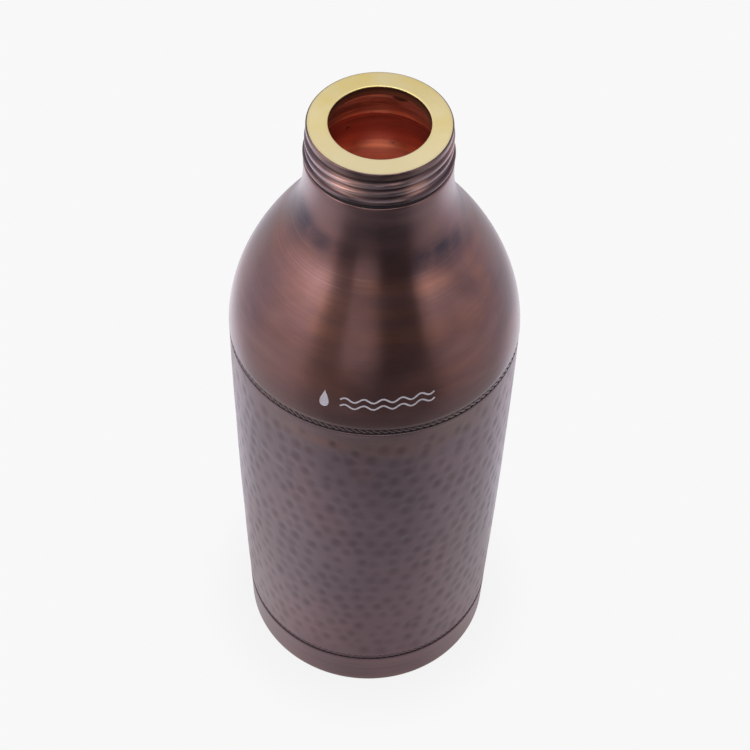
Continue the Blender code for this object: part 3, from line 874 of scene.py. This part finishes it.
def seam_lines():
    overlap = 0.02 * MM
    line_ring("upper_seam_line", low=BODY_TOP_Z - overlap, high=Z_SEAM + overlap,
              inner=43.0 * MM, outer=SEAM_R - 0.20 * MM, replaced="upper_seam_solder")
    line_ring("lower_seam_line", low=BASE_TOP_Z - overlap, high=Z_LOW + overlap,
              inner=39.9 * MM, outer=BODY_LOW_R - 0.22 * MM, replaced="lower_seam_solder")
    line_ring("neck_braze_line", low=Z_LEDGE - 0.05 * MM, high=RING_FOOT + 0.55 * MM,
              inner=19.9 * MM, outer=20.75 * MM, replaced="neck_braze_ring")


# ------------------------------------------------------------ base
HEEL_R, HEEL_ROUND = 40.6 * MM, 4.0 * MM
FOOT_R = 33.4 * MM                       # inner edge of the ring the bottle stands on
PAN_R, PAN_Z, PAN_CROWN = 31.0 * MM, 2.6 * MM, 3.6 * MM     # raised underside
BASE_SLEEVE_R = 39.75 * MM               # part that reaches up inside the body


def pan_height(radius):
    return PAN_CROWN - (PAN_CROWN - PAN_Z) * (radius / PAN_R) ** 2


def base():
    lathe = Lathe("base_cup_pressed", segments=384)
    top = BASE_TOP_Z
    # underside, from the middle out to the heel
    lathe.add_row(0.4 * MM, PAN_CROWN)
    lathe.add([(r, pan_height(r)) for r in np.linspace(3, 29.5, 14) * MM])
    lathe.add(bezier((30.2 * MM, PAN_Z + 0.05 * MM), (31.6 * MM, PAN_Z - 0.1 * MM),
                     (32.0 * MM, 0.35 * MM), (FOOT_R, 0.02 * MM), 9))
    lathe.add([(34.0 * MM, 0.0), (36.0 * MM, 0.0)])
    lathe.add(arc(HEEL_R - HEEL_ROUND, HEEL_ROUND, HEEL_ROUND, -88, 0, 16))
    # band
    lathe.add([(HEEL_R + (BASE_R - HEEL_R) * t, HEEL_ROUND + (top - 0.3 * MM - HEEL_ROUND) * t)
               for t in np.linspace(0.12, 1.0, 9)])
    lathe.add([(BASE_R - 0.04 * MM, top - 0.12 * MM), (BASE_R - 0.25 * MM, top)], groove=0.6)
    # sleeve inside the body
    lathe.add([(BASE_SLEEVE_R, top), (BASE_SLEEVE_R, Z_LOW + 4.8 * MM),
               (BASE_SLEEVE_R - 0.25 * MM, Z_LOW + 5.0 * MM)])
    # inside, back to the middle
    inner_r = BASE_SLEEVE_R - WALL
    lathe.add([(inner_r + 0.15 * MM, Z_LOW + 5.0 * MM), (inner_r, Z_LOW + 4.8 * MM),
               (inner_r, top - 1.0 * MM), (39.9 * MM, top - 2.0 * MM)], mat=1)
    lathe.add(arc(HEEL_R - HEEL_ROUND, HEEL_ROUND, HEEL_ROUND - WALL, 0, -90, 9), mat=1)
    lathe.add([(34.0 * MM, WALL), (32.2 * MM, 0.5 * PAN_Z + WALL),
               (30.5 * MM, PAN_Z + WALL)], mat=1)
    lathe.add([(r, pan_height(r) + WALL) for r in np.linspace(29, 3, 8) * MM], mat=1)
    lathe.add_row(0.4 * MM, PAN_CROWN + WALL, mat=1)
    mount(lathe.build(poles=True), (BAND, INSIDE), "band_copper", "base_cup")


# ------------------------------------------------------------ neck ring
MOUTH_R, LIP_DEPTH = 14.2 * MM, 3.2 * MM
THREAD_PITCH = 3.0 * MM
THREAD_ROOT_R, THREAD_CREST_R = 19.75 * MM, 20.65 * MM
THREAD_TOP, THREAD_FOOT = HEIGHT - 2.3 * MM, HEIGHT - 9.5 * MM
RIM_R, RIM_ROUND = 20.3 * MM, 0.55 * MM  # plain band above the thread
BEAD_Z, BEAD_ROUND = HEIGHT - 10.5 * MM, 0.75 * MM

# Tarnished and rubbed places, with the columns of patches(). The first three tarnish rows, across
# the front, are painted shade; the first two rub rows are painted highlights to its left and
# right.
NECK_TARNISH = (
    (2, 216.6, 34, 1.7, 0.85), (3, 218.6, 15, 2.0, 0.65), (2, 223.0, 18, 1.6, 0.15),
    (70, 219, 14, 3.0, 0.5), (-80, 220, 14, 3.0, 0.5), (170, 219, 24, 4.0, 0.5))
NECK_RUBS = (
    (-26, 221.2, 11, 3.0, 1.0), (31, 220.2, 8, 2.0, 1.0), (88, 222, 18, 3.0, 0.6),
    (150, 220, 16, 3.0, 0.8), (-110, 221, 18, 3.0, 0.6), (-170, 222, 12, 3.0, 0.5))


def neck_thread(lathe, mat):
    for z in np.linspace(THREAD_TOP + 0.05 * MM, THREAD_FOOT, 62):
        run_in = smooth01((THREAD_TOP - z) / (0.45 * THREAD_PITCH))
        run_out = smooth01((z - THREAD_FOOT + 0.2 * MM) / (0.3 * THREAD_PITCH))
        phase = ((z - THREAD_FOOT) / THREAD_PITCH - lathe.theta / TAU - 0.383) % 1.0
        wave = smooth01((0.5 - 0.5 * np.cos(TAU * phase)) * 1.12)
        fade = run_in * run_out
        rise = np.maximum(wave * fade, 0.55 * (1.0 - run_out))
        lathe.add_row(THREAD_ROOT_R + (THREAD_CREST_R - THREAD_ROOT_R) * rise, z, mat,
                      groove=np.clip((1.0 - wave) ** 2.0 * (0.45 + 0.27 * run_out), 0, 1),
                      proud=np.clip((wave - 0.80) / 0.20, 0, 1) * 0.75 * fade,
                      rub=patches(lathe.theta, z, NECK_RUBS),
                      tarnish=patches(lathe.theta, z, NECK_TARNISH))


def neck():
    face, outside, lip, bore = range(4)  # material numbers
    lathe = Lathe("neck_ring_turned", segments=720)
    # mouth, going up, then the flat sealing face
    lathe.add([(MOUTH_R + 0.25 * MM, HEIGHT - LIP_DEPTH),
               (MOUTH_R, HEIGHT - LIP_DEPTH + 0.2 * MM), (MOUTH_R, HEIGHT - 0.9 * MM)], lip)
    lathe.add([(MOUTH_R, HEIGHT - 0.32 * MM), (MOUTH_R + 0.04 * MM, HEIGHT - 0.14 * MM),
               (MOUTH_R + 0.14 * MM, HEIGHT - 0.04 * MM), (MOUTH_R + 0.32 * MM, HEIGHT)], face)
    lathe.add([(r * MM, HEIGHT) for r in np.linspace(15.2, 19.2, 5)], face)
    # rounded outer edge and plain band
    rim = (RIM_R - RIM_ROUND, HEIGHT - RIM_ROUND, RIM_ROUND)
    lathe.add(arc(*rim, 90, 84, 2), face)
    lathe.add(arc(*rim, 78, 0, 8), outside)
    lathe.add([(RIM_R, HEIGHT - 1.2 * MM), (RIM_R, THREAD_TOP + 0.25 * MM)], outside)
    neck_thread(lathe, outside)
    # bead below the thread
    bead_r = BEAD_R - BEAD_ROUND
    for radius, z in arc(bead_r, BEAD_Z, BEAD_ROUND, 78, -80, 15):
        out = (radius - bead_r) / BEAD_ROUND
        lathe.add_row(radius, z, outside, groove=float(np.clip(0.80 - out, 0, 1)),
                      proud=float(np.clip((out - 0.85) / 0.15, 0, 1) * 0.6),
                      tarnish=patches(lathe.theta, z, NECK_TARNISH))
    # foot, then up the bore
    seat = SPIGOT_TOP + 0.06 * MM
    lathe.add([(20.35 * MM, RING_FOOT + 0.25 * MM), (19.9 * MM, RING_FOOT),
               (18.75 * MM, RING_FOOT), (18.75 * MM, seat)], outside, groove=0.80)
    lathe.add([(BORE_R + 0.02 * MM, seat), (BORE_R - 0.03 * MM, SPIGOT_TOP + 0.14 * MM),
               (BORE_R - 0.03 * MM, HEIGHT - LIP_DEPTH - 0.2 * MM),
               (BORE_R - 0.3 * MM, HEIGHT - LIP_DEPTH)], bore)
    mount(lathe.build(), (BRASS, THREAD, LIP, INSIDE), "neck_brass", "neck_ring")


# ------------------------------------------------------------ printed mark
MARK_Z = Z_SEAM + 12.1 * MM              # height of the print on the dome
MARK_SKEW, MARK_PIVOT = 0.045, 2.0 * MM  # printed a little off level, turned about this place
FILM_TOP, FILM_BOTTOM = 0.045 * MM, -0.02 * MM
# Print coordinates below are millimetres to the right and up.
DROP_X, DROP_Z = -13.9, 0.4
DROP_HALF_WIDTH, DROP_HALF_HEIGHT = 1.95, 3.0
WAVE_START, WAVE_END, WAVE_COUNT = -9.2, 18.4, 5
WAVE_LEVELS = (1.05, -1.30)
WAVE_HEIGHT, WAVE_STROKE = 0.66, 0.52


def dome_placer(curve):
    """A function that lays print coordinates, in metres, onto the dome."""
    length = np.concatenate([[0], np.cumsum(np.hypot(*np.diff(curve, axis=0).T))])
    middle = float(np.interp(MARK_Z, curve[:, 1], length))
    tangents = unit_tangents(curve)
    middle_r = float(np.interp(middle, length, curve[:, 0]))

    def place(right, up, lift):
        along = middle + up + MARK_SKEW * (right - MARK_PIVOT)
        radius, z, tangent_r, tangent_z = (
            np.interp(along, length, column) for column in (*curve.T, *tangents.T))
        radius, z = radius + tangent_z * lift, z - tangent_r * lift
        angle = -math.pi / 2 + right / middle_r
        return (radius * math.cos(angle), radius * math.sin(angle), z)

    return place


def film_strip(left, right, start):
    """A thin film between two edges: points as (right, up, lift), and faces from an index."""
    n = len(left)
    points = [(p[0] * MM, p[1] * MM, lift)
              for lift in (FILM_TOP, FILM_BOTTOM) for p in (*left, *right)]
    a, b, c, d = (start + k * n for k in range(4))
    faces = []
    for i in range(n - 1):
        faces += [(a + i, b + i, b + i + 1, a + i + 1), (c + i, c + i + 1, d + i + 1, d + i),
                  (a + i, a + i + 1, c + i + 1, c + i), (b + i, d + i, d + i + 1, b + i + 1)]
    faces += [(a, c, d, b), (a + n - 1, b + n - 1, d + n - 1, c + n - 1)]
    return points, faces


def mark_outlines():
    """Two edges each for the drop, tip down to foot, and for the two waves."""
    turns = math.pi * np.linspace(0.0, 1.0, 30)
    half = [max(DROP_HALF_WIDTH * math.sin(a) * (math.sin(a / 2) ** 1.5), 0.03) for a in turns]
    up = [DROP_HALF_HEIGHT * math.cos(a) + DROP_Z for a in turns]
    yield tuple([(DROP_X + side * h, z) for h, z in zip(half, up)] for side in (-1, 1))
    wavelength = (WAVE_END - WAVE_START) / WAVE_COUNT
    for level in WAVE_LEVELS:
        x = np.linspace(WAVE_START, WAVE_END, 120)
        wave = level + WAVE_HEIGHT * np.sin((x - WAVE_START) / wavelength * TAU)
        path = np.stack([x, wave], 1)
        yield offset(path, WAVE_STROKE / 2), offset(path, -WAVE_STROKE / 2)


def water_mark(curve):
    """Silver print on the shoulder: one water drop and two plain waves."""
    place = dome_placer(curve)
    verts, faces = [], []
    for left, right in mark_outlines():
        points, strip_faces = film_strip(left, right, len(verts))
        verts += [place(*point) for point in points]
        faces += strip_faces
    me = bpy.data.meshes.new("printed_water_mark")
    me.from_pydata(verts, [], faces)
    me.update()
    bm = bmesh.new()
    bm.from_mesh(me)
    bmesh.ops.recalc_face_normals(bm, faces=bm.faces)
    bm.to_mesh(me)
    bm.free()
    mount(add_object("printed_water_mark", me), (INK,), "satin_copper")


dome_curve = shoulder_curve()
shoulder(dome_curve)
body()
seam_lines()
base()
neck()
water_mark(dome_curve)


# ------------------------------------------------------------ stage
# What the bottle mirrors: (degrees round it, brightness). 0 is the camera's side, minus is left.
# A dark studio behind the camera, a softbox wall on each side, a pale wall behind the bottle.
# FAR, MID and NEAR are the floor; EDGE is its rim and the horizon; HIGH, TOP and UP lie above.
ROOM_FAR = (
    (-180, 0.60), (-165, 0.74), (-150, 0.86), (-118, 1.06), (-99, 1.18), (-78, 1.28),
    (-64, 1.18), (-54, 1.00), (-48, 0.70), (-42, 0.44), (-36, 0.36), (-26, 0.33), (-18, 0.36),
    (-4, 0.33), (7, 0.24), (40, 0.24), (47, 0.46), (56, 0.68), (68, 0.84), (80, 0.92),
    (99, 0.98), (118, 1.02), (150, 0.82), (165, 0.78), (180, 0.60))
ROOM_MID = (
    (-180, 0.90), (-150, 1.50), (-118, 1.60), (-92, 1.12), (-74, 1.14), (-56, 1.05),
    (-40, 0.76), (-25, 0.50), (0, 0.42), (25, 0.44), (44, 0.66), (60, 0.84), (74, 0.90),
    (92, 0.90), (118, 1.42), (150, 1.40), (180, 0.90))
ROOM_NEAR = (
    (-180, 1.00), (-150, 1.50), (-116, 1.55), (-96, 1.04), (-71, 1.18), (-48, 1.18),
    (-27, 0.92), (0, 0.72), (27, 0.74), (48, 0.90), (71, 1.00), (96, 1.00), (116, 1.52),
    (150, 1.50), (180, 1.00))
ROOM_EDGE = (
    (-180, 0.80), (-150, 0.66), (-134, 0.67), (-118, 1.20), (-99, 1.42), (-82, 1.32),
    (-70, 1.36), (-58, 1.50), (-50, 1.20), (-44, 0.62), (-38, 0.46), (-26, 0.46), (-20, 1.10),
    (-8, 1.02), (0, 0.74), (7, 0.27), (12, 0.20), (38, 0.20), (43, 0.55), (54, 0.82),
    (66, 0.92), (80, 1.02), (99, 1.10), (118, 0.98), (134, 0.69), (150, 0.68), (180, 0.80))
ROOM_HIGH = (
    (-180, 0.80), (-150, 0.90), (-134, 1.35), (-118, 1.85), (-99, 1.84), (-84, 2.30),
    (-72, 2.80), (-58, 3.10), (-50, 2.60), (-44, 1.00), (-38, 0.46), (-26, 0.46), (-20, 1.14),
    (-8, 1.06), (0, 0.76), (7, 0.26), (12, 0.19), (38, 0.19), (43, 1.25), (54, 2.10),
    (66, 1.80), (80, 1.45), (99, 1.14), (118, 1.04), (134, 0.98), (150, 0.92), (180, 0.80))
ROOM_TOP = (
    (-180, 1.00), (-150, 1.10), (-120, 1.15), (-96, 1.05), (-80, 1.50), (-68, 2.60),
    (-56, 3.30), (-49, 2.45), (-42, 1.15), (-30, 0.52), (0, 0.38), (30, 0.28), (42, 0.60),
    (54, 0.95), (66, 0.80), (92, 0.62), (120, 0.70), (150, 1.00), (180, 1.00))
ROOM_UP = (
    (-180, 0.95), (-150, 0.98), (-125, 1.15), (-100, 1.42), (-70, 1.46), (-48, 1.20),
    (-30, 0.88), (0, 0.82), (30, 0.92), (60, 1.00), (80, 1.02), (100, 1.08), (125, 1.15),
    (150, 0.98), (180, 0.95))
PEAK = 3.8                               # brightness at full scale of the ramps
OVERHEAD = 0.95                          # brightness straight up
FLOOR_SEEN = 0.939                       # brightness of floor and background to the camera
FLOOR_GAIN = ROOM_GAIN = 1.0             # overall strength of the mirrored floor and room
FLOOR_HALF = 6.0
FLOOR_DROP = 0.0002                      # the floor lies just under the foot
COOL_BACK = (0.97, 0.94, 1.03)           # light from behind the bottle


def room_light(net, x, y, stops):
    """Brightness from a direction or a place on the floor, given as its x and y."""
    angle = net.math("ARCTAN2", x, net.math("MULTIPLY", y, -1.0))
    turn = net.math("ADD", net.math("DIVIDE", angle, TAU), 0.5)
    stops = [((degrees + 180.0) / 360.0, (value / PEAK,) * 3) for degrees, value in stops]
    return net.scaled(net.ramp(turn, stops, "EASE"), by=PEAK)


def pale_floor():
    mat, net = material_net("pale_floor")
    seen, lit = net.node("Emission"), net.node("Emission")
    x, y, _ = net.xyz()
    squares = net.add(net.times(x, x), net.times(y, y))
    radius = net.math("POWER", squares, 0.5)
    # to the camera: pale, with a breath of contact shade round the foot
    net.put(seen.inputs["Strength"],
            net.span(radius, over=(0.036, 0.064), to=(FLOOR_SEEN * 0.95, FLOOR_SEEN)))
    # mirrored by the bottle, with a painted shadow of the bottle round the foot
    near = net.span(radius, over=(0.038, 0.060), to=(0.75, 1.0))
    mid = net.span(radius, over=(0.135, 0.165))
    level = net.weighted(room_light(net, x, y, ROOM_MID), mid,
                         room_light(net, x, y, ROOM_NEAR), net.rest(mid))
    for stops, reach in ((ROOM_FAR, (0.20, 0.30)), (ROOM_EDGE, (0.70, 2.2))):
        share = net.span(radius, over=reach)
        level = net.weighted(room_light(net, x, y, stops), share, level, net.rest(share))
    net.put(lit.inputs["Strength"], net.times(level, net.scaled(near, by=FLOOR_GAIN)))
    net.put(lit.inputs["Color"], net.tint((1.0, 0.975, 0.985), COOL_BACK,
                                          amount=net.span(y, over=(-0.02, 0.05))))
    net.seen_or_lit(seen, lit, "OutputMaterial")
    return mat


def floor():
    me = bpy.data.meshes.new("studio_floor")
    s = FLOOR_HALF
    me.from_pydata([(-s, -s, 0), (s, -s, 0), (s, s, 0), (-s, s, 0)], [], [(0, 1, 2, 3)])
    ob = add_object("studio_floor", me)
    ob.location.z = -FLOOR_DROP
    me.materials.append(pale_floor())


def studio_world():
    world = bpy.data.worlds.new("studio")
    scene.world = world
    world.use_nodes = True
    net = Net(world.node_tree)
    seen, lit = net.node("Background"), net.node("Background")
    net.put(seen.inputs[0], (FLOOR_SEEN,) * 3)
    x, y, z = net.xyz("Generated")
    level = room_light(net, x, y, ROOM_EDGE)
    # the softboxes begin a little above the horizon; overhead the room is nearly evenly pale
    for stops, rise in ((ROOM_HIGH, (0.07, 0.21)), (ROOM_TOP, (0.28, 0.52)),
                        (ROOM_UP, (0.66, 0.80))):
        share = net.span(z, over=rise)
        level = net.weighted(level, net.rest(share), room_light(net, x, y, stops), share)
    top = net.span(z, over=(0.90, 0.98))
    level = net.weighted(level, net.rest(top), top, OVERHEAD)
    net.put(lit.inputs[1], net.scaled(level, by=ROOM_GAIN))
    net.put(lit.inputs[0], net.tint((1.0, 0.97, 0.965), COOL_BACK,
                                    amount=net.span(y, over=(-0.6, 0.6))))
    net.seen_or_lit(seen, lit, "OutputWorld")


# ------------------------------------------------------------ lights
def aim(location, target):
    return (Vector(target) - Vector(location)).to_track_quat("-Z", "Y").to_euler()


def add_light(name, kind, energy, color, location, rotation, **settings):
    light = bpy.data.lights.new(name, kind)
    light.energy, light.color = energy, color
    for setting, value in settings.items():
        setattr(light, setting, value)
    ob = add_object(name, light)
    ob.location = location
    ob.rotation_euler = rotation
    return ob


def lights():
    place = (0.0, -0.10, 1.3)
    add_light("softbox_overhead", "AREA", energy=4, color=(1.0, 0.98, 0.95), location=place,
              rotation=aim(place, target=(0, 0, 0.2)), shape="RECTANGLE", size=0.60,
              size_y=0.60, spread=math.radians(180.0))
    # a narrow warm light from the camera's side, aimed down the mouth to show the copper inside
    place, mouth = (0.02, -0.62, 0.98), (0.0, 0.0, HEIGHT - 1.5 * MM)
    pool_radius = 11.5 * MM
    distance = (Vector(place) - Vector(mouth)).length
    add_light("mouth_light", "SPOT", energy=4.6, color=(1.0, 0.95, 0.9), location=place,
              rotation=aim(place, target=mouth), shadow_soft_size=0.02,
              spot_size=2.0 * math.atan(pool_radius / distance), spot_blend=0.35)
    # the light that collects at the bottom of the bottle and shines back up its walls
    bounce = add_light("bounce_inside", "AREA", energy=0.0104, color=(1.0, 0.70, 0.55),
                       location=(0.0, 0.0, 0.016), rotation=(math.pi, 0.0, 0.0),
                       shape="DISK", size=0.050)
    bounce.visible_camera = False


# ------------------------------------------------------------ camera
CAMERA_BACK, CAMERA_UP = 9.137778 * SEAM_R, 13.923 * SEAM_R
CAMERA_DOWN, CAMERA_ROLL = 0.8878, 0.0279    # radians below level, and about the view axis


def camera():
    cam = bpy.data.cameras.new("camera")
    cam.sensor_width = 36.0
    cam.lens = 97.6896
    cam.shift_x, cam.shift_y = 0.002866667, 0.000698667
    cam.clip_start, cam.clip_end = 0.01, 50.0
    ob = add_object("camera", cam)
    ob.matrix_world = (Matrix.Translation((0, -CAMERA_BACK, CAMERA_UP))
                       @ Euler((math.pi / 2 - CAMERA_DOWN, 0, 0)).to_matrix().to_4x4()
                       @ Matrix.Rotation(CAMERA_ROLL, 4, "Z"))
    scene.camera = ob


floor()
studio_world()
lights()
camera()
scene.view_settings.view_transform = "Standard"
scene.view_settings.look = "None"
scene.cycles.use_denoising = True
